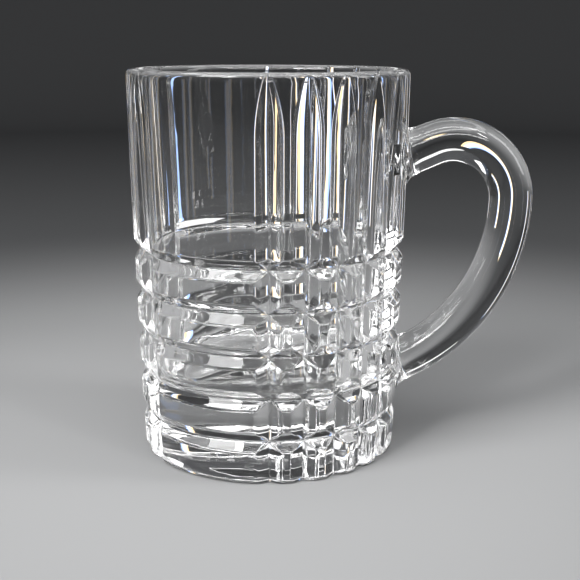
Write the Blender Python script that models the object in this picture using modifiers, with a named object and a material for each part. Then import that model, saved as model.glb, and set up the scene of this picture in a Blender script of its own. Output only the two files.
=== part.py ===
# Cut glass beer mug: a heavy glass body with mitre cuts, and a round glass handle seated on its side.
# Metres, +Z up. The origin is the middle of the flat underside, and the handle points along +X.

import math

import bmesh
import bpy
from mathutils import Matrix, Vector

# Body
BODY_HEIGHT = 0.130
RIM_DIAMETER = 0.0945
FOOT_DIAMETER = 0.0881
SIDE_BULGE = 0.0004        # how far the side bows out at half height
RIM_ROUND = 0.0020
FOOT_ROUND = 0.0017

# Drinking space
RIM_WALL = 0.0045
FLOOR_WALL = 0.0060        # wall beside the floor
BASE_THICKNESS = 0.0250
FLOOR_FILLET = 0.0080

# Mitre cuts: rows run round the body, flutes run up it, and both are equally deep
CUT_DEPTH = 0.0024
ROW_COUNT = 5
ROW_WIDTH = 0.0065
ROW_PITCH = 0.0141
FIRST_ROW_HEIGHT = 0.0140
FLUTE_WIDTH = 0.0084
FLUTE_GROUPS = 3           # a plain panel is left between one group and the next
FLUTES_PER_GROUP = 5
FLUTE_PITCH = math.radians(15.0)
FLUTE_OVERRUN = 0.0025     # how far above the rim the wheel would leave the glass
FLUTE_RUN_OUT = 0.0220     # length over which the wheel rises out of its full depth

# Handle
HANDLE_DIAMETER = 0.0149
HANDLE_REACH = 0.0905      # from the mug's axis to the handle's outermost point
HANDLE_DROP = 0.0162       # from the rim down to the handle's highest point
UPPER_BEND = 0.0200        # bend radii along the middle of the handle
LOWER_BEND = 0.0635
ROOT_RISE = math.radians(23.0)

# Clearances and roundness
SEAT_CLEARANCE = 0.0004    # between the handle's ends and the body, measured outwards
CUTTER_MARGIN = 0.0010     # how far a cutter stands past what it cuts
BODY_STEPS = 72
ARC_STEPS = 4
SIDE_STEPS = 4
BEND_STEPS = 14
HANDLE_BEVEL_STEPS = 8
RIM_ROUND_LIMIT = 0.48     # share of the rim's wall that one rounded edge may take
MERGE_DISTANCE = 0.00001   # points closer than this are one point
SHARP_ANGLE = math.radians(40.0)

# Glass
GLASS_COLOUR = (0.93, 0.95, 0.95, 1.0)
GLASS_ROUGHNESS = 0.02
GLASS_IOR = 1.52

for leftover in list(bpy.data.objects):
    bpy.data.objects.remove(leftover, do_unlink=True)


def new_collection(name):
    collection = bpy.data.collections.new(name)
    bpy.context.scene.collection.children.link(collection)
    return collection


mug = new_collection("cut_glass_beer_mug")
cutters = new_collection("mug_cutters")


def glass(name):
    material = bpy.data.materials.new(name)
    material.use_nodes = True
    shader = material.node_tree.nodes["Principled BSDF"]
    shader.inputs["Base Color"].default_value = GLASS_COLOUR
    shader.inputs["Roughness"].default_value = GLASS_ROUGHNESS
    shader.inputs["Metallic"].default_value = 0.0
    shader.inputs["IOR"].default_value = GLASS_IOR
    shader.inputs["Transmission Weight"].default_value = 1.0
    return material


def add_object(name, mesh, collection):
    thing = bpy.data.objects.new(name, mesh)
    collection.objects.link(thing)
    return thing


def make_cutter(thing):
    thing.hide_render = True
    thing.display_type = "WIRE"


def cut(thing, cutter, name):
    boolean = thing.modifiers.new(name, "BOOLEAN")
    boolean.operation = "DIFFERENCE"
    boolean.solver = "EXACT"
    boolean.object = cutter


def arc(centre_x, centre_z, radius, start, end, steps):
    """Points along a round stretch of an outline, both ends included."""
    points = []
    for step in range(steps + 1):
        angle = start + (end - start) * step / steps
        points.append((centre_x + radius * math.cos(angle), centre_z + radius * math.sin(angle)))
    return points


def side_radius(height):
    """Outer radius of the uncut body: a straight taper with a slight bow."""
    share = height / BODY_HEIGHT
    taper = FOOT_DIAMETER + (RIM_DIAMETER - FOOT_DIAMETER) * share
    return taper / 2 + SIDE_BULGE * 4 * share * (1 - share)


def cavity_radius(height):
    """Inner radius of the drinking space, from the wall beside the floor to the wall at the rim."""
    floor_radius = side_radius(BASE_THICKNESS) - FLOOR_WALL
    rim_radius = RIM_DIAMETER / 2 - RIM_WALL
    share = (height - BASE_THICKNESS) / (BODY_HEIGHT - BASE_THICKNESS)
    return floor_radius + (rim_radius - floor_radius) * share


def row_heights():
    """Heights of the row cuts, from the top row down."""
    return [FIRST_ROW_HEIGHT + ROW_PITCH * row for row in reversed(range(ROW_COUNT))]


def cut_side(top, offset):
    """Outer side from a height just above the rows down past the lowest row, moved out by an offset."""
    rows = row_heights()
    first_edge = rows[0] + ROW_WIDTH / 2
    points = []
    for step in range(SIDE_STEPS):
        height = top + (first_edge - top) * step / SIDE_STEPS
        points.append((side_radius(height) + offset, height))
    for height in rows:
        upper = height + ROW_WIDTH / 2
        lower = height - ROW_WIDTH / 2
        points.append((side_radius(upper) + offset, upper))
        points.append((side_radius(height) - CUT_DEPTH + offset, height))
        points.append((side_radius(lower) + offset, lower))
    return points


def body_outline():
    """Half section from the middle of the floor, up the inside, over the rim and down the outside."""
    rim_round = min(RIM_ROUND, RIM_WALL * RIM_ROUND_LIMIT)
    rim_arc_height = BODY_HEIGHT - rim_round
    fillet_top = BASE_THICKNESS + FLOOR_FILLET
    fillet_x = cavity_radius(fillet_top) - FLOOR_FILLET
    inner_rim_x = cavity_radius(rim_arc_height) + rim_round
    outer_rim_x = side_radius(rim_arc_height) - rim_round
    foot_x = side_radius(FOOT_ROUND) - FOOT_ROUND
    quarter = math.pi / 2
    points = [(0.0, BASE_THICKNESS)]
    points += arc(fillet_x, fillet_top, FLOOR_FILLET, -quarter, 0.0, ARC_STEPS)
    points += arc(inner_rim_x, rim_arc_height, rim_round, math.pi, quarter, ARC_STEPS)
    points += arc(outer_rim_x, rim_arc_height, rim_round, quarter, 0.0, ARC_STEPS)
    points += cut_side(rim_arc_height, 0.0)[1:]
    points += arc(foot_x, FOOT_ROUND, FOOT_ROUND, 0.0, -quarter, ARC_STEPS)
    points.append((0.0, 0.0))
    return points


def seat_outline():
    """Half section of the body's outside, solid to the axis, with room left for the seats."""
    top = BODY_HEIGHT + CUTTER_MARGIN
    bottom = -CUTTER_MARGIN
    points = [(0.0, top)]
    points += cut_side(top, SEAT_CLEARANCE)
    points.append((side_radius(bottom) + SEAT_CLEARANCE, bottom))
    points.append((0.0, bottom))
    return points


def turned(name, outline, collection):
    """Spin a half section about the axis, with the facets' corners half a step off the flutes."""
    mesh = bpy.data.meshes.new(name)
    half_step = Matrix.Rotation(math.pi / BODY_STEPS, 3, "Z")
    vertices = [half_step @ Vector((x, 0.0, z)) for x, z in outline]
    edges = [(index, index + 1) for index in range(len(outline) - 1)]
    mesh.from_pydata(vertices, edges, [])
    thing = add_object(name, mesh, collection)
    screw = thing.modifiers.new("turn", "SCREW")
    screw.axis = "Z"
    screw.angle = 2 * math.pi
    screw.steps = BODY_STEPS
    screw.render_steps = BODY_STEPS
    screw.use_merge_vertices = True
    screw.merge_threshold = MERGE_DISTANCE
    screw.use_smooth_shade = True
    return thing


def flute_path():
    """Deepest line of one flute: it follows the side, then rises out of the glass on the wheel's arc."""
    full_depth_top = BODY_HEIGHT + FLUTE_OVERRUN - FLUTE_RUN_OUT
    bottom = -CUTTER_MARGIN
    points = []
    for step in range(SIDE_STEPS * 2):
        height = bottom + (full_depth_top - bottom) * step / (SIDE_STEPS * 2)
        points.append((side_radius(height) - CUT_DEPTH, height))
    overrun = math.sqrt(1 + CUTTER_MARGIN / CUT_DEPTH)
    for step in range(SIDE_STEPS * 2 + 1):
        share = overrun * step / (SIDE_STEPS * 2)
        height = full_depth_top + FLUTE_RUN_OUT * share
        points.append((side_radius(height) - CUT_DEPTH * (1 - share ** 2), height))
    return points


def flute_angles():
    """Directions of the flutes: their groups lie between plain panels, one of which faces the handle."""
    angles = []
    group_turn = 2 * math.pi / FLUTE_GROUPS
    for group in range(FLUTE_GROUPS):
        for flute in range(FLUTES_PER_GROUP):
            offset = flute - (FLUTES_PER_GROUP - 1) / 2
            angles.append(group_turn * (group + 0.5) + FLUTE_PITCH * offset)
    return angles


def make_flute_cutters():
    """One V-shaped bar for each flute, extruded section by section along the flute's path."""
    reach = CUT_DEPTH + CUTTER_MARGIN
    half_width = reach * FLUTE_WIDTH / 2 / CUT_DEPTH
    path = flute_path()
    bm = bmesh.new()
    for angle in flute_angles():
        turn = Matrix.Rotation(angle, 3, "Z")
        start_x, start_z = path[0]
        corners = [(start_x, 0.0), (start_x + reach, -half_width), (start_x + reach, half_width)]
        section = [bm.verts.new(turn @ Vector((x, y, start_z))) for x, y in corners]
        ring = bm.faces.new(section).edges[:]
        for (from_x, from_z), (to_x, to_z) in zip(path, path[1:]):
            grown = bmesh.ops.extrude_edge_only(bm, edges=ring)["geom"]
            moved = [item for item in grown if isinstance(item, bmesh.types.BMVert)]
            step = turn @ Vector((to_x - from_x, 0.0, to_z - from_z))
            bmesh.ops.translate(bm, vec=step, verts=moved)
            ring = [item for item in grown if isinstance(item, bmesh.types.BMEdge) and item.is_boundary]
        bmesh.ops.contextual_create(bm, geom=ring)
    bmesh.ops.recalc_face_normals(bm, faces=bm.faces[:])
    mesh = bpy.data.meshes.new("flute_cutters")
    bm.to_mesh(mesh)
    bm.free()
    bars = add_object("flute_cutters", mesh, cutters)
    make_cutter(bars)
    return bars


def handle_route():
    """Middle line of the handle: a straight root, a tight upper bend and a long lower bend into the body."""
    radius = HANDLE_DIAMETER / 2
    root_depth = CUT_DEPTH + radius
    upper_x = HANDLE_REACH - radius - UPPER_BEND
    upper_z = BODY_HEIGHT - HANDLE_DROP - radius - UPPER_BEND
    lower_x = upper_x + UPPER_BEND - LOWER_BEND
    upper_start = math.pi / 2 + ROOT_RISE
    upper_arc = arc(upper_x, upper_z, UPPER_BEND, upper_start, 0.0, BEND_STEPS)
    first_x, first_z = upper_arc[0]
    root_x = min(first_x, RIM_DIAMETER / 2) - root_depth
    root_z = first_z - (first_x - root_x) * math.tan(ROOT_RISE)
    lower_end_x = FOOT_DIAMETER / 2 - root_depth
    lower_end = -math.acos((lower_end_x - lower_x) / LOWER_BEND)
    lower_arc = arc(lower_x, upper_z, LOWER_BEND, 0.0, lower_end, BEND_STEPS)
    return [(root_x, root_z)] + upper_arc + lower_arc[1:]


def make_handle():
    route = handle_route()
    curve = bpy.data.curves.new("handle_route", "CURVE")
    curve.dimensions = "3D"
    curve.bevel_depth = HANDLE_DIAMETER / 2
    curve.bevel_resolution = HANDLE_BEVEL_STEPS
    curve.use_fill_caps = True
    spline = curve.splines.new("POLY")
    spline.points.add(len(route) - 1)
    for point, (x, z) in zip(spline.points, route):
        point.co = (x, 0.0, z, 1.0)
    rod = add_object("handle_route", curve, cutters)
    bpy.context.view_layer.update()
    evaluated = rod.evaluated_get(bpy.context.evaluated_depsgraph_get())
    mesh = bpy.data.meshes.new_from_object(evaluated)
    bpy.data.objects.remove(rod, do_unlink=True)
    bm = bmesh.new()
    bm.from_mesh(mesh)
    bmesh.ops.remove_doubles(bm, verts=bm.verts[:], dist=MERGE_DISTANCE)
    bmesh.ops.recalc_face_normals(bm, faces=bm.faces[:])
    bm.to_mesh(mesh)
    bm.free()
    mesh.shade_smooth()
    mesh.set_sharp_from_angle(angle=SHARP_ANGLE)
    mesh.materials.clear()
    mesh.materials.append(glass("handle_glass"))
    handle = add_object("handle", mesh, mug)
    seat = turned("handle_seats", seat_outline(), cutters)
    make_cutter(seat)
    cut(handle, seat, "seat on the body")
    return handle


def make_body():
    body = turned("mug_body", body_outline(), mug)
    body.data.materials.append(glass("body_glass"))
    cut(body, make_flute_cutters(), "cut the flutes")
    return body


make_body()
make_handle()
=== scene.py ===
import itertools
import math

import bmesh
import bpy
from mathutils import Matrix, Vector
from mathutils.bvhtree import BVHTree


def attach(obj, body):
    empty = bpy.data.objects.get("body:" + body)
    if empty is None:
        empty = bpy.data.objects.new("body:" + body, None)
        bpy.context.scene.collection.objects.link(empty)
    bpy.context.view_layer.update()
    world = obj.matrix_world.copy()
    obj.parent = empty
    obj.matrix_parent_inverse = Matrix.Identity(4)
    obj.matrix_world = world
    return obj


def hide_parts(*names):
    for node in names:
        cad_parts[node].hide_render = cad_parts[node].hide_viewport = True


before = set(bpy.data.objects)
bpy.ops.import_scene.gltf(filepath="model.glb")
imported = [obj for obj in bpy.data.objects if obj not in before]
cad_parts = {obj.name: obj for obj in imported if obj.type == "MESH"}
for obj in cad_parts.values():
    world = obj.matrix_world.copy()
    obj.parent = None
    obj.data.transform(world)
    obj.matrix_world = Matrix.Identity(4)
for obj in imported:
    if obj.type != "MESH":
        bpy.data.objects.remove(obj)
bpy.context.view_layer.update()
scene = bpy.context.scene

cameraView = {
    "place": (0.0020, -0.3618, 0.1401),
    "yaw": 0.84,       # degrees to the right
    "pitch": 13.40,    # degrees down
    "roll": 0.10,      # degrees
    "lens": 65.93,     # millimetres
}


def makeCamera(values):
    yaw, pitch, roll = (math.radians(values[name]) for name in ("yaw", "pitch", "roll"))
    forward = Vector((math.sin(yaw) * math.cos(pitch), math.cos(yaw) * math.cos(pitch), -math.sin(pitch)))
    level = Vector((math.cos(yaw), -math.sin(yaw), 0.0))
    upright = level.cross(forward)
    across = level * math.cos(roll) + upright * math.sin(roll)
    up = upright * math.cos(roll) - level * math.sin(roll)
    turn = Matrix((across, up, -forward)).transposed()
    data = bpy.data.cameras.new("photoCamera")
    data.lens = values["lens"]
    camera = bpy.data.objects.new("photoCamera", data)
    scene.collection.objects.link(camera)
    camera.matrix_world = Matrix.Translation(values["place"]) @ turn.to_4x4()
    scene.camera = camera


makeCamera(cameraView)
print("camera placed")

colourA, colourB, mixedColour = 6, 7, 2    # sockets of a Mix node that mixes colours


def addNode(tree, kind, **settings):
    node = tree.nodes.new(kind)
    for name, value in settings.items():
        setattr(node, name, value)
    return node


def setInputs(node, **values):
    for name, value in values.items():
        node.inputs[name].default_value = value


def addNoise(tree, place, **settings):
    noise = addNode(tree, "ShaderNodeTexNoise")
    setInputs(noise, **settings)
    tree.links.new(place, noise.inputs["Vector"])
    return noise.outputs["Fac"]


glassMarks = {
    "tintScale": 22.0,
    "smearScale": 48.0,
    "smearStart": 0.52,     # noise above this is a wipe mark
    "smearFull": 0.78,
    "scuffScale": 900.0,
    "wearHeight": 0.0002,   # the scuffed ring ends at this height
    "rippleScale": 110.0,
}
markInputs = {
    "clearTint": "NodeSocketColor",
    "coolTint": "NodeSocketColor",
    "polish": "NodeSocketFloat",
    "wipeMarks": "NodeSocketFloat",
    "footWear": "NodeSocketFloat",
}
markOutputs = {
    "tint": "NodeSocketColor",
    "roughness": "NodeSocketFloat",
    "ripple": "NodeSocketFloat",
}


def makeMarksGroup(values):
    tree = bpy.data.node_groups.new("glassMarks", "ShaderNodeTree")
    for name, kind in markInputs.items():
        tree.interface.new_socket(name, in_out="INPUT", socket_type=kind)
    for name, kind in markOutputs.items():
        tree.interface.new_socket(name, in_out="OUTPUT", socket_type=kind)
    link = tree.links.new
    given = addNode(tree, "NodeGroupInput").outputs
    result = addNode(tree, "NodeGroupOutput").inputs
    place = addNode(tree, "ShaderNodeTexCoord").outputs["Object"]

    cloud = addNoise(tree, place, Scale=values["tintScale"], Detail=3.0, Roughness=0.5)
    tint = addNode(tree, "ShaderNodeMix", data_type="RGBA")
    link(cloud, tint.inputs["Factor"])
    link(given["clearTint"], tint.inputs[colourA])
    link(given["coolTint"], tint.inputs[colourB])
    link(tint.outputs[mixedColour], result["tint"])

    smear = addNoise(tree, place, Scale=values["smearScale"], Detail=6.0, Roughness=0.62, Distortion=1.4)
    wiped = addNode(tree, "ShaderNodeMapRange")
    setInputs(wiped, **{"From Min": values["smearStart"], "From Max": values["smearFull"]})
    link(smear, wiped.inputs["Value"])
    link(given["polish"], wiped.inputs["To Min"])
    link(given["wipeMarks"], wiped.inputs["To Max"])

    split = addNode(tree, "ShaderNodeSeparateXYZ")
    link(place, split.inputs["Vector"])
    worn = addNode(tree, "ShaderNodeMapRange")
    setInputs(worn, **{"From Min": 0.0, "From Max": values["wearHeight"], "To Max": 0.0})
    link(split.outputs["Z"], worn.inputs["Value"])
    link(given["footWear"], worn.inputs["To Min"])
    scuff = addNoise(tree, place, Scale=values["scuffScale"], Detail=2.0)
    scuffed = addNode(tree, "ShaderNodeMath", operation="MULTIPLY")
    link(worn.outputs["Result"], scuffed.inputs[0])
    link(scuff, scuffed.inputs[1])
    dull = addNode(tree, "ShaderNodeMath", operation="ADD")
    link(wiped.outputs["Result"], dull.inputs[0])
    link(scuffed.outputs["Value"], dull.inputs[1])
    link(dull.outputs["Value"], result["roughness"])

    ripple = addNoise(tree, place, Scale=values["rippleScale"], Detail=1.0)
    link(ripple, result["ripple"])
    return tree


marksGroup = makeMarksGroup(glassMarks)

glassLook = {
    "ior": 1.52,
    "clearTint": (1.0, 1.0, 1.0, 1.0),
    "coolTint": (0.997, 0.9995, 0.999, 1.0),
    "shadowTint": (0.46, 0.465, 0.47, 1.0),   # the light that each surface lets into the shadow
    "polish": 0.0,          # roughness of the best polished glass
    "wipeMarks": 0.02,      # roughness where a cloth has dulled it
    "footWear": 0.12,       # roughness of the scuffed ring that the mug stands on
    "waviness": 0.02,       # strength of the faint ripples
    "rippleHeight": 0.001,
}


def makeGlass(name, values):
    material = bpy.data.materials.new(name)
    material.use_nodes = True
    tree = material.node_tree
    link = tree.links.new
    shader = tree.nodes["Principled BSDF"]
    setInputs(shader, Metallic=0.0, IOR=values["ior"], **{"Transmission Weight": 1.0})
    marks = addNode(tree, "ShaderNodeGroup", node_tree=marksGroup)
    setInputs(marks, **{socket: values[socket] for socket in markInputs})
    link(marks.outputs["tint"], shader.inputs["Base Color"])
    link(marks.outputs["roughness"], shader.inputs["Roughness"])
    bump = addNode(tree, "ShaderNodeBump")
    setInputs(bump, Strength=values["waviness"], Distance=values["rippleHeight"])
    link(marks.outputs["ripple"], bump.inputs["Height"])
    link(bump.outputs["Normal"], shader.inputs["Normal"])
    path = addNode(tree, "ShaderNodeLightPath")
    clear = addNode(tree, "ShaderNodeBsdfTransparent")
    setInputs(clear, Color=values["shadowTint"])
    mix = addNode(tree, "ShaderNodeMixShader")
    link(path.outputs["Is Shadow Ray"], mix.inputs["Fac"])
    link(shader.outputs["BSDF"], mix.inputs[1])
    link(clear.outputs["BSDF"], mix.inputs[2])
    link(mix.outputs["Shader"], tree.nodes["Material Output"].inputs["Surface"])
    return material


def makeJoin(name):    # the two hidden faces of the fused joint are clear
    material = bpy.data.materials.new(name)
    material.use_nodes = True
    setInputs(material.node_tree.nodes["Principled BSDF"], Alpha=0.0, Metallic=0.0)
    return material


joinLook = makeJoin("fusedJoin")
glassSlot, joinSlot = 0, 1    # the order of both pieces' materials
print("glass ready")

body = {
    "height": 0.130,
    "rimDiameter": 0.0944,
    "footDiameter": 0.0881,
    "bulge": 0.0004,          # how far the side bows out at half height
    "rimRound": 0.0020,
    "footRound": 0.0017,
    "footEdge": 0.0004,       # small rounding where a flute meets the underside
    "lipRound": 0.00012,      # softness where a flute runs into the rounded rim or foot
    "rimWall": 0.0045,
    "floorWall": 0.0060,
    "baseThickness": 0.0250,
    "recessRadius": 0.0360,   # the underside is hollowed, so the mug stands on a ring
    "recessDepth": 0.0012,
    "floorFillet": 0.0080,
    "cutDepth": 0.0024,
    "rings": 5,
    "ringHalfWidth": 0.00325,
    "ringPitch": 0.0141,
    "firstRing": 0.0140,
    "fluteHalfWidth": 0.0042,
    "fluteGroups": 3,
    "flutesPerGroup": 5,
    "flutePitch": 15.0,       # degrees
    "fluteOverrun": 0.0025,   # how far above the rim the wheel would leave the glass
    "fluteRunOut": 0.0220,    # length over which the wheel rises out of its full depth
    "edgeRound": 0.00050,     # softness of the land edges, as a depth
    "hipRound": 0.00006,      # softness of the star rays at their ends
    "rayRound": 0.00025,      # half the width of the rounded star rays, at most
    "raySegments": 3,
    "rayShare": 0.79,         # how far out the rays are rounded, in half widths of a cut
    "starDepth": 0.9,         # rows deeper than this share of a cut start star rays
    "valleyShare": 0.03,      # softness of the bottom of a cut
    "joinGap": 0.00003,       # how far the handle's ends stay from the side
    "landStep": 1.6,          # degrees between columns on the plain glass
    "bandStep": 0.0022,       # between rows on the bands among the rings
    "upperStep": 0.0050,      # between rows above the rings
    "runOutStep": 0.0012,     # between rows where the flutes run out
    "wallStep": 0.0120,       # between rows on the inner wall
    "footSteps": 6,
    "rimSteps": 12,
    "innerRimSteps": 8,
    "filletSteps": 12,
    "recessSteps": 6,
    "floorShares": (0.66, 0.33, 0.0),
}
cutShares = (0.0, 0.05, 0.25, 0.55, body["rayShare"], 0.86, 0.93, 1.0, 1.07, 1.14, 1.21)   # in half widths
outerShare = cutShares[-1]
mirroredShares = [-share for share in reversed(cutShares[1:])] + list(cutShares)
noCut = -1.0              # the depth of a cut that isn't there
mergeGap = 1e-7           # vertices that are this near are one
poleRadius = 1e-6         # vertices that are this near to the axis have no column
sharpAngle = math.radians(55.0)
ringHeights = [body["firstRing"] + body["ringPitch"] * ring for ring in range(body["rings"])]
fullHeight = body["height"] + body["fluteOverrun"] - body["fluteRunOut"]   # the flutes run out above


def sideRadius(z):
    share = z / body["height"]
    taper = body["footDiameter"] + (body["rimDiameter"] - body["footDiameter"]) * share
    return taper / 2 + body["bulge"] * 4 * share * (1 - share)


def cavityRadius(z):
    low = sideRadius(body["baseThickness"]) - body["floorWall"]
    high = body["rimDiameter"] / 2 - body["rimWall"]
    return low + (high - low) * (z - body["baseThickness"]) / (body["height"] - body["baseThickness"])


def smoothMax(a, b, width):
    if width <= 0:
        return max(a, b)
    share = max(width - abs(a - b), 0.0) / width
    return max(a, b) + share * share * width / 4


def runOut(z):    # share of the full depth that a flute still has
    past = (z - fullHeight) / body["fluteRunOut"]
    return 1.0 if past <= 0 else 1 - past * past


def halfAngle(z, depthShare):
    return math.asin(body["fluteHalfWidth"] * depthShare / sideRadius(z))


fullHalf = halfAngle(fullHeight, 1.0)


def fluteAngles():
    turn = 2 * math.pi / body["fluteGroups"]
    pitch = math.radians(body["flutePitch"])
    middle = (body["flutesPerGroup"] - 1) / 2
    return [turn * (group + 0.5) + pitch * (flute - middle)
            for group in range(body["fluteGroups"]) for flute in range(body["flutesPerGroup"])]


# A station is a column of the mesh: its flute's angle, its share of the flute's half width,
# how far it lies across the land to the next flute, and the angle to that flute.
def makeStations():
    angles = fluteAngles()
    stations = []
    for index, angle in enumerate(angles):
        gap = (angles[(index + 1) % len(angles)] - angle) % (2 * math.pi)
        stations += [(angle, share, 0.0, gap) for share in mirroredShares]
        land = gap - 2 * outerShare * fullHalf
        steps = max(3, round(math.degrees(land) / body["landStep"]))
        stations += [(angle, outerShare, step / steps, gap) for step in range(1, steps)]
    return stations


def stationPoint(station, half, radius, z):
    angle, share, across, gap = station
    turn = angle + share * half + across * (gap - 2 * outerShare * half)
    return Vector((radius * math.cos(turn), radius * math.sin(turn), z))


def fluteDepth(radius, depth, half, share):
    apex = radius - depth
    lean = radius * math.cos(half) - apex
    side = radius * math.sin(half)
    angle = half * math.hypot(share, body["valleyShare"])
    return radius - apex * side / (side * math.cos(angle) - lean * math.sin(angle))


def arcLoss(past, rounding):
    return rounding - math.sqrt(max(rounding ** 2 - max(past, 0.0) ** 2, 0.0))


def cutPoint(z, ringDepth, loss, station):
    share, across = station[1:3]
    radius = sideRadius(z)
    depthShare = runOut(z)
    half = halfAngle(z, depthShare)
    depth = noCut
    if across == 0:
        depth = fluteDepth(radius, body["cutDepth"] * depthShare, half, share)
    rounding = body["edgeRound"] * (depthShare if ringDepth <= noCut else 1.0)
    depth = smoothMax(depth, ringDepth, body["hipRound"])
    depth = smoothMax(depth, 0.0, rounding)
    if depth > 0:
        depth += arcLoss(body["footEdge"] - z, body["footEdge"])
    depth = smoothMax(depth, loss, body["lipRound"] if loss > 0 else 0.0)
    return stationPoint(station, half, radius - depth, z)


def turnedPoint(radius, z, spread, station):
    return stationPoint(station, fullHalf * spread, radius, z)


def spaced(low, high, step):
    count = max(1, round((high - low) / step))
    return [low + (high - low) * index / count for index in range(1, count)]


def sideRows():    # height, depth of the ring, loss to the rounding of rim or foot
    rows = []
    rounding = body["footRound"]
    steps = body["footSteps"]
    for step in range(steps + 1):
        angle = math.pi / 2 * (steps - step) / steps
        rows.append((rounding * (1 - math.sin(angle)), noCut, rounding * (1 - math.cos(angle))))
    low = rounding
    for height in ringHeights:
        first = height - outerShare * body["ringHalfWidth"]
        rows += [(z, noCut, 0.0) for z in spaced(low, first, body["bandStep"])]
        for share in mirroredShares:
            deep = body["cutDepth"] * (1 - math.hypot(share, body["valleyShare"]))
            rows.append((height + share * body["ringHalfWidth"], deep, 0.0))
        low = height + outerShare * body["ringHalfWidth"]
    rimHeight = body["height"] - body["rimRound"]
    plain = spaced(low, fullHeight, body["upperStep"]) + [fullHeight]
    plain += spaced(fullHeight, rimHeight, body["runOutStep"])
    rows += [(z, noCut, 0.0) for z in plain]
    for step in range(body["rimSteps"] + 1):
        rise = body["rimRound"] * math.sin(math.pi / 2 * step / body["rimSteps"])
        rows.append((rimHeight + rise, noCut, arcLoss(rise, body["rimRound"])))
    return rows


def turnedRows():    # radius, height, how far the columns have spread again from the run-out
    rows = []
    rim = body["rimRound"]
    rimHeight = body["height"] - rim
    innerX = cavityRadius(rimHeight) + rim
    steps = body["innerRimSteps"]
    narrow = runOut(body["height"])
    for step in range(steps + 1):
        angle = math.pi / 2 * (1 + step / steps)
        spread = narrow + (1 - narrow) * (step + 1) / (steps + 1)
        rows.append((innerX + rim * math.cos(angle), rimHeight + rim * math.sin(angle), spread))
    fillet = body["floorFillet"]
    filletTop = body["baseThickness"] + fillet
    filletX = cavityRadius(filletTop) - fillet
    for z in reversed(spaced(filletTop, rimHeight, body["wallStep"])):
        rows.append((cavityRadius(z), z, 1.0))
    for step in range(body["filletSteps"] + 1):
        angle = math.pi / 2 * step / body["filletSteps"]
        rows.append((filletX + fillet * math.cos(angle), filletTop - fillet * math.sin(angle), 1.0))
    rows += [(filletX * share, body["baseThickness"], 1.0) for share in body["floorShares"]]
    return rows


def recessRows():
    rows = []
    for step in range(body["recessSteps"] + 1):
        share = step / body["recessSteps"]
        rows.append((body["recessRadius"] * share, body["recessDepth"] * (1 - share * share), 1.0))
    return rows


def splitStars(grid, stations, side, firstSide):
    rayEnd = cutShares.index(body["rayShare"])
    columns = [index for index, station in enumerate(stations) if station[1] == 0.0]
    starDepth = body["cutDepth"] * body["starDepth"]
    starts = [index + firstSide for index, row in enumerate(side) if row[1] > starDepth]
    rays = []
    for row, column, up, along in itertools.product(starts, columns, (-1, 1), (-1, 1)):
        for step in range(len(cutShares) - 1):
            near = grid[row + up * step, (column + along * step) % len(stations)]
            far = grid[row + up * (step + 1), (column + along * (step + 1)) % len(stations)]
            shared = [face for face in near.link_faces if face in far.link_faces]
            if shared and len(shared[0].verts) == 4:
                edge = bmesh.utils.face_split(shared[0], near, far)[1].edge
                if 0 < step < rayEnd:
                    rays.append(edge)
    return rays


def spinRound(bm, line, steps):
    edges = [bm.edges.new(pair) for pair in zip(line, line[1:])]
    bmesh.ops.spin(bm, geom=line + edges, cent=(0, 0, 0), axis=(0, 0, 1), angle=2 * math.pi,
                   steps=steps, use_merge=True)


def toMesh(bm, name):
    bmesh.ops.remove_doubles(bm, verts=bm.verts[:], dist=mergeGap)
    bmesh.ops.recalc_face_normals(bm, faces=bm.faces[:])
    mesh = bpy.data.meshes.new(name)
    bm.to_mesh(mesh)
    bm.free()
    return mesh


def makeBodyMesh():
    stations = makeStations()
    under = recessRows()
    side = sideRows()
    places = [(turnedPoint, row) for row in under]
    places += [(cutPoint, row) for row in side]
    places += [(turnedPoint, row) for row in turnedRows()]
    bm = bmesh.new()
    rowLayer = bm.verts.layers.int.new("row")
    line = []
    for index, (place, row) in enumerate(places):
        point = place(*row, stations[0])
        vert = bm.verts.new((point.xy.length, 0.0, point.z))
        vert[rowLayer] = index
        line.append(vert)
    count = len(stations)
    spinRound(bm, line, count)
    grid = {}
    for vert in bm.verts:
        column = round(math.atan2(vert.co.y, vert.co.x) / (2 * math.pi) * count) % count
        if vert.co.xy.length > poleRadius:
            grid[vert[rowLayer], column] = vert
    for (index, column), vert in grid.items():    # the plain spin takes on the cuts
        place, row = places[index]
        vert.co = place(*row, stations[column])
    rays = splitStars(grid, stations, side, len(under))
    bmesh.ops.bevel(bm, geom=rays, affect="EDGES", offset=body["rayRound"], offset_type="OFFSET",
                    segments=body["raySegments"], profile=0.5, material=-1, clamp_overlap=True)
    return toMesh(bm, "mugBody")


def addPiece(name, mesh, node, materials):
    slots = [face.material_index for face in mesh.polygons]
    mesh.materials.clear()    # this also forgets which face has which slot
    for material in materials:
        mesh.materials.append(material)
    mesh.polygons.foreach_set("material_index", slots)
    mesh.shade_smooth()
    mesh.set_sharp_from_angle(angle=sharpAngle)
    piece = bpy.data.objects.new(name, mesh)
    scene.collection.objects.link(piece)
    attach(piece, "root")
    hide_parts(node)


bodyMesh = makeBodyMesh()
bodyGlass = makeGlass("bodyGlass", glassLook)
addPiece("mugBody", bodyMesh, "mug_body", [bodyGlass, joinLook])
print("body made:", len(bodyMesh.polygons), "faces")

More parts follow.
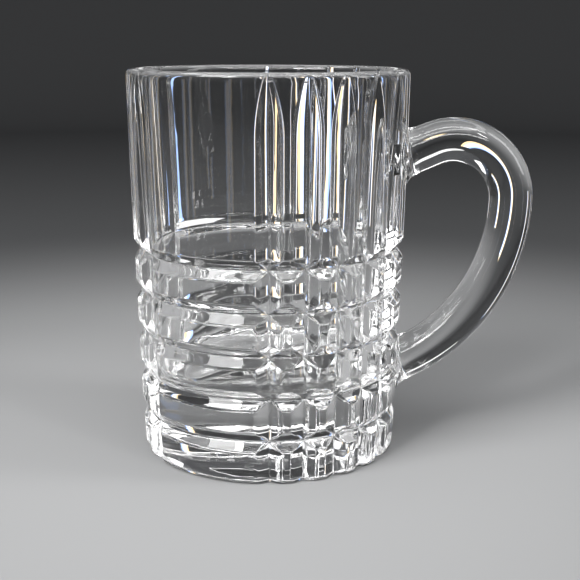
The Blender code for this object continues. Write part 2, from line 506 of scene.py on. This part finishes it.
handle = {
    "rodRadius": 0.00745,
    "reach": 0.09049,
    "drop": 0.0162,           # from the rim down to the handle's highest point
    "upperBend": 0.0200,
    "lowerBend": 0.0635,
    "rootRise": 23.0,         # degrees
    "flare": 0.0018,          # how far the glass spreads where it joins the side
    "flareLength": 0.0050,
    "sides": 64,
    "rootSteps": 40,
    "upperSteps": 48,
    "lowerSteps": 170,
    "seatSides": 300,
    "seatMargin": 0.0020,     # how far the cutter passes the mug's top and bottom
    "sliverWidth": 5e-6,      # the cut leaves slivers up to this size
    "sliverLength": 2e-6,
}


def makeRod(values):
    radius = values["rodRadius"]
    upperBend = values["upperBend"]
    lowerBend = values["lowerBend"]
    rise = math.radians(values["rootRise"])
    upperX = values["reach"] - radius - upperBend
    bendZ = body["height"] - values["drop"] - radius - upperBend    # the centre of both bends
    lowerX = upperX + upperBend - lowerBend
    startX = upperX + upperBend * math.cos(math.pi / 2 + rise)
    startZ = bendZ + upperBend * math.sin(math.pi / 2 + rise)
    rootX = body["rimDiameter"] / 2 - body["cutDepth"] - radius
    endX = body["footDiameter"] / 2 - body["cutDepth"] - radius
    length = (startX - rootX) / math.cos(rise)
    along = Vector((math.cos(rise), 0.0, math.sin(rise)))
    origin = Vector((startX, 0.0, startZ)) - along * length
    bends = (
        (upperX, math.pi / 2 + rise, values["upperSteps"]),
        (lowerX, math.acos((endX - lowerX) / lowerBend), values["lowerSteps"]),
    )

    def nearestMiddle(point):
        if point.z > bendZ and point.x < startX - (point.z - startZ) * math.tan(rise):
            return origin + along * (point - origin).dot(along)
        centreX, bend = (upperX, upperBend) if point.z > bendZ else (lowerX, lowerBend)
        angle = math.atan2(point.z - bendZ, point.x - centreX)
        return Vector((centreX + bend * math.cos(angle), 0.0, bendZ + bend * math.sin(angle)))

    bm = bmesh.new()
    place = Matrix.Translation(origin) @ along.to_track_quat("Z", "Y").to_matrix().to_4x4()
    bmesh.ops.create_circle(bm, segments=values["sides"], radius=radius, matrix=place)
    ring = bm.edges[:]
    for step in range(values["rootSteps"]):
        grown = bmesh.ops.extrude_edge_only(bm, edges=ring)["geom"]
        verts = [item for item in grown if isinstance(item, bmesh.types.BMVert)]
        bmesh.ops.translate(bm, vec=along * length / values["rootSteps"], verts=verts)
        ring = [item for item in grown if isinstance(item, bmesh.types.BMEdge) and item.is_boundary]
    for centreX, angle, steps in bends:
        verts = list(dict.fromkeys(vert for edge in ring for vert in edge.verts))
        spun = bmesh.ops.spin(bm, geom=verts + ring, cent=(centreX, 0.0, bendZ), axis=(0, 1, 0), angle=angle,
                              steps=steps)
        ring = [item for item in spun["geom_last"] if isinstance(item, bmesh.types.BMEdge)]
    for vert in bm.verts:
        middle = nearestMiddle(vert.co)
        away = max(0.0, vert.co.xy.length - sideRadius(vert.co.z))
        near = max(0.0, 1 - away / values["flareLength"])
        spread = values["flare"] * (1 - math.sqrt(1 - near * near))
        vert.co = middle + (vert.co - middle) * (1 + spread / radius)
    bmesh.ops.holes_fill(bm, edges=[edge for edge in bm.edges if edge.is_boundary], sides=0)
    return toMesh(bm, "rod")


def makeSeat(values, offset):    # the side of the mug without its flutes
    bottom = -values["seatMargin"]
    top = body["height"] + values["seatMargin"]
    profile = [(0.0, bottom), (sideRadius(0.0) + offset, bottom)]
    for row in sideRows():
        z, ringDepth = row[:2]
        loss = smoothMax(ringDepth, 0.0, body["edgeRound"]) if ringDepth > noCut else 0.0
        profile.append((sideRadius(z) - loss + offset, z))
    profile += [(sideRadius(body["height"]) + offset, top), (0.0, top)]
    bm = bmesh.new()
    spinRound(bm, [bm.verts.new((x, 0.0, z)) for x, z in profile], values["seatSides"])
    for face in bm.faces:
        face.material_index = joinSlot
    return toMesh(bm, "seat")


def cutAway(values, mesh, cutterMesh):
    pair = [bpy.data.objects.new(name, data) for name, data in (("blank", mesh), ("cutter", cutterMesh))]
    for thing in pair:
        scene.collection.objects.link(thing)
        while len(thing.data.materials) <= joinSlot:
            thing.data.materials.append(joinLook)
    blank, cutter = pair
    boolean = blank.modifiers.new("cut", "BOOLEAN")
    boolean.operation = "DIFFERENCE"
    boolean.solver = "EXACT"
    boolean.material_mode = "INDEX"
    boolean.object = cutter
    bpy.context.view_layer.update()
    result = bpy.data.meshes.new_from_object(blank.evaluated_get(bpy.context.evaluated_depsgraph_get()))
    for thing in pair:
        bpy.data.objects.remove(thing, do_unlink=True)
    bm = bmesh.new()
    bm.from_mesh(result)
    bmesh.ops.remove_doubles(bm, verts=bm.verts[:], dist=values["sliverWidth"])
    bmesh.ops.dissolve_degenerate(bm, edges=bm.edges[:], dist=values["sliverLength"])
    bmesh.ops.triangulate(bm, faces=bm.faces[:], quad_method="BEAUTY", ngon_method="BEAUTY")
    twins = {}
    for face in bm.faces:
        twins.setdefault(frozenset(face.verts), []).append(face)
    flaps = [face for group in twins.values() if len(group) > 1 for face in group]
    bmesh.ops.delete(bm, geom=flaps, context="FACES")
    bm.to_mesh(result)
    bm.free()
    return result


def joinTree(mesh):
    faces = [tuple(face.vertices) for face in mesh.polygons if face.material_index == joinSlot]
    return BVHTree.FromPolygons([vert.co for vert in mesh.vertices], faces)


def clearUnder(mesh, cappedMesh, reach):    # faces of the joint are clear only where they face each other
    caps = joinTree(cappedMesh)
    covered = [caps.find_nearest(vert.co, reach)[0] is not None for vert in mesh.vertices]
    for face in mesh.polygons:
        if all(covered[index] for index in face.vertices):
            face.material_index = joinSlot
    bare = joinTree(mesh)
    for face in cappedMesh.polygons:
        if face.material_index == joinSlot and bare.find_nearest(face.center, reach)[0] is None:
            face.material_index = glassSlot


joinReach = 3 * body["joinGap"]    # glass that is this near to the other piece is joined to it
handleMesh = cutAway(handle, makeRod(handle), makeSeat(handle, body["joinGap"]))
clearUnder(bodyMesh, handleMesh, joinReach)
handleGlass = makeGlass("handleGlass", glassLook)
addPiece("mugHandle", handleMesh, "handle", [handleGlass, joinLook])
print("handle made:", len(handleMesh.polygons), "faces")

stage = {
    "paleColour": (0.54, 0.543, 0.547, 1.0),
    "paintedFalloffColour": (0.13, 0.132, 0.135, 1.0),
    "paintedPoolReach": 0.04,        # painted pool of light: the paper is painted palest round the mug
    "paintedFalloffReach": 0.44,        # and the painted light has faded to the dark backdrop grey here
    "floorDrop": 0.0003,      # the floor stays just clear of the glass
    "floorRadius": 1.3,
    "sweepRadius": 0.35,
    "sweepSteps": 12,
    "wallTop": 0.5,
    "sides": 96,
    "worldColour": (0.07, 0.072, 0.076, 1.0),
}


# The floor and backdrop carry painted light: a pale pool round the mug that is painted darker and darker
# away from it.
def makePaperWithPaintedLight(values):
    material = bpy.data.materials.new("paperWithPaintedLightPool")
    material.use_nodes = True
    tree = material.node_tree
    link = tree.links.new
    shader = tree.nodes["Principled BSDF"]
    setInputs(shader, Roughness=0.9, **{"Specular IOR Level": 0.0})
    place = addNode(tree, "ShaderNodeTexCoord")
    away = addNode(tree, "ShaderNodeVectorMath", operation="LENGTH")
    link(place.outputs["Object"], away.inputs[0])
    fade = addNode(tree, "ShaderNodeMapRange", interpolation_type="SMOOTHSTEP")
    setInputs(fade, **{"From Min": values["paintedPoolReach"], "From Max": values["paintedFalloffReach"]})
    link(away.outputs["Value"], fade.inputs["Value"])
    # painted falloff of light from the pale pool to the dark backdrop grey
    colour = addNode(tree, "ShaderNodeMix", data_type="RGBA")
    colour.inputs[colourA].default_value = values["paleColour"]
    colour.inputs[colourB].default_value = values["paintedFalloffColour"]
    link(fade.outputs["Result"], colour.inputs["Factor"])
    link(colour.outputs[mixedColour], shader.inputs["Base Color"])
    return material


def makeStage(values):
    flat = values["floorRadius"]
    bend = values["sweepRadius"]
    profile = [(0.0, 0.0), (flat / 2, 0.0)]
    for step in range(values["sweepSteps"] + 1):
        angle = math.pi / 2 * step / values["sweepSteps"]
        profile.append((flat + bend * math.sin(angle), bend * (1 - math.cos(angle))))
    profile.append((flat + bend, values["wallTop"]))
    bm = bmesh.new()
    spinRound(bm, [bm.verts.new((x, 0.0, z - values["floorDrop"])) for x, z in profile], values["sides"])
    mesh = toMesh(bm, "studioFloor")
    mesh.shade_smooth()
    mesh.materials.append(makePaperWithPaintedLight(values))
    floor = bpy.data.objects.new("studioFloor", mesh)
    scene.collection.objects.link(floor)


def makeWorld(values):
    world = bpy.data.worlds.new("studio")
    scene.world = world
    world.use_nodes = True
    setInputs(world.node_tree.nodes["Background"], Color=values["worldColour"], Strength=1.0)


makeStage(stage)
makeWorld(stage)
print("stage set")

# A lamp that is only for the glass doesn't light the floor.
lamps = {
    "keyBox": {"place": (-0.57, -0.54, 0.75), "size": (0.45, 0.45), "power": 7.2},
    "topBox": {"place": (0.0, -0.32, 1.0), "size": (0.9, 0.9), "power": 3.2},
    "rightBox": {"place": (0.80, -0.15, 0.55), "size": (0.2, 0.7), "power": 2.2},
    "backBox": {"place": (0.0, 0.96, 0.335), "size": (0.6, 0.10), "power": 0.18,
                "shape": "ELLIPSE", "onlyGlass": True},
    "backRightBox": {"place": (0.62, 0.69, 0.435), "size": (0.35, 0.12), "power": 0.26, "onlyGlass": True},
    "frontBar": {"place": (0.0, -0.81, 0.65), "size": (1.2, 0.12), "power": 4.5, "onlyGlass": True},
    "rimBar": {"place": (0.0, -0.25, 1.0), "size": (1.4, 0.10), "power": 4.4, "onlyGlass": True},
    "leftWindow": {"place": (-0.45, -0.75, 0.75), "size": (0.12, 0.20), "power": 1.8},
    "rightWindow": {"place": (0.55, -0.60, 0.80), "size": (0.10, 0.16), "power": 1.0},
}
lampAim = (0.02, 0.0, 0.06)


def makeLamp(name, values, aim):
    data = bpy.data.lights.new(name, "AREA")
    data.shape = values.get("shape", "RECTANGLE")
    data.size, data.size_y = values["size"]
    data.energy = values["power"]
    data.color = values.get("colour", (1.0, 1.0, 1.0))
    lamp = bpy.data.objects.new(name, data)
    scene.collection.objects.link(lamp)
    lamp.visible_camera = False
    lamp.visible_diffuse = not values.get("onlyGlass", False)
    place = Vector(values["place"])
    facing = Vector(aim) - place
    lamp.matrix_world = Matrix.Translation(place) @ facing.to_track_quat("-Z", "Y").to_matrix().to_4x4()


def glassLamp(azimuth, distance, height, size, radiance):    # azimuth from behind the mug towards its handle
    turn = math.radians(azimuth)
    return {
        "place": (distance * math.sin(turn), distance * math.cos(turn), height),
        "size": size,
        "power": radiance * math.pi * size[0] * size[1],
        "onlyGlass": True,
    }


strips = {
    "azimuths": (-17.5, 22, -40, 44, -80, 80, -115, 115, -150, 150),   # degrees
    "width": 1.4,             # degrees
    "fringe": 0.8,            # width of the tinted edges, which give the glass its fire
    "distance": 0.38,
    "height": 0.14,
    "radiance": 1.7,
    "warm": (1.0, 0.75, 0.42),
    "white": (1.0, 1.0, 1.0),
    "cool": (0.40, 0.58, 1.0),
}


def makeStrips(values):
    middle = values["height"] / 2
    offset = (values["width"] + values["fringe"]) / 2
    parts = (
        ("warm", -offset, values["fringe"]),
        ("white", 0.0, values["width"]),
        ("cool", offset, values["fringe"]),
    )
    for index, azimuth in enumerate(values["azimuths"]):
        for colour, along, width in parts:
            size = (values["distance"] * math.radians(width), values["height"])
            lamp = glassLamp(azimuth + along, values["distance"], middle, size, values["radiance"])
            lamp["colour"] = values[colour]
            makeLamp(f"{colour}Strip{index}", lamp, (0.0, 0.0, middle))


halo = {
    "count": 24,
    "radius": 0.50,
    "height": 0.85,
    "size": (0.14, 0.12),
    "radiance": 4.4,
    "swing": 0.50,            # how much brighter it is on its bright side
    "brightSide": -150.0,     # azimuth in degrees
    "aim": (0.0, 0.0, 0.05),
}


def makeHalo(values):
    for index in range(values["count"]):
        azimuth = 360.0 * index / values["count"]
        share = 1 + values["swing"] * math.cos(math.radians(azimuth - values["brightSide"]))
        radiance = values["radiance"] * share
        lamp = glassLamp(azimuth, values["radius"], values["height"], values["size"], radiance)
        makeLamp(f"halo{index}", lamp, values["aim"])


for name, values in lamps.items():
    makeLamp(name, values, lampAim)
makeStrips(strips)
makeHalo(halo)
print("lamps set")

scene.view_settings.view_transform = "Standard"
scene.cycles.max_bounces = 32
scene.cycles.glossy_bounces = 16
scene.cycles.transmission_bounces = 32
scene.cycles.transparent_max_bounces = 32
scene.cycles.caustics_reflective = False    # the glass casts its light through its shadow colour instead
scene.cycles.caustics_refractive = False
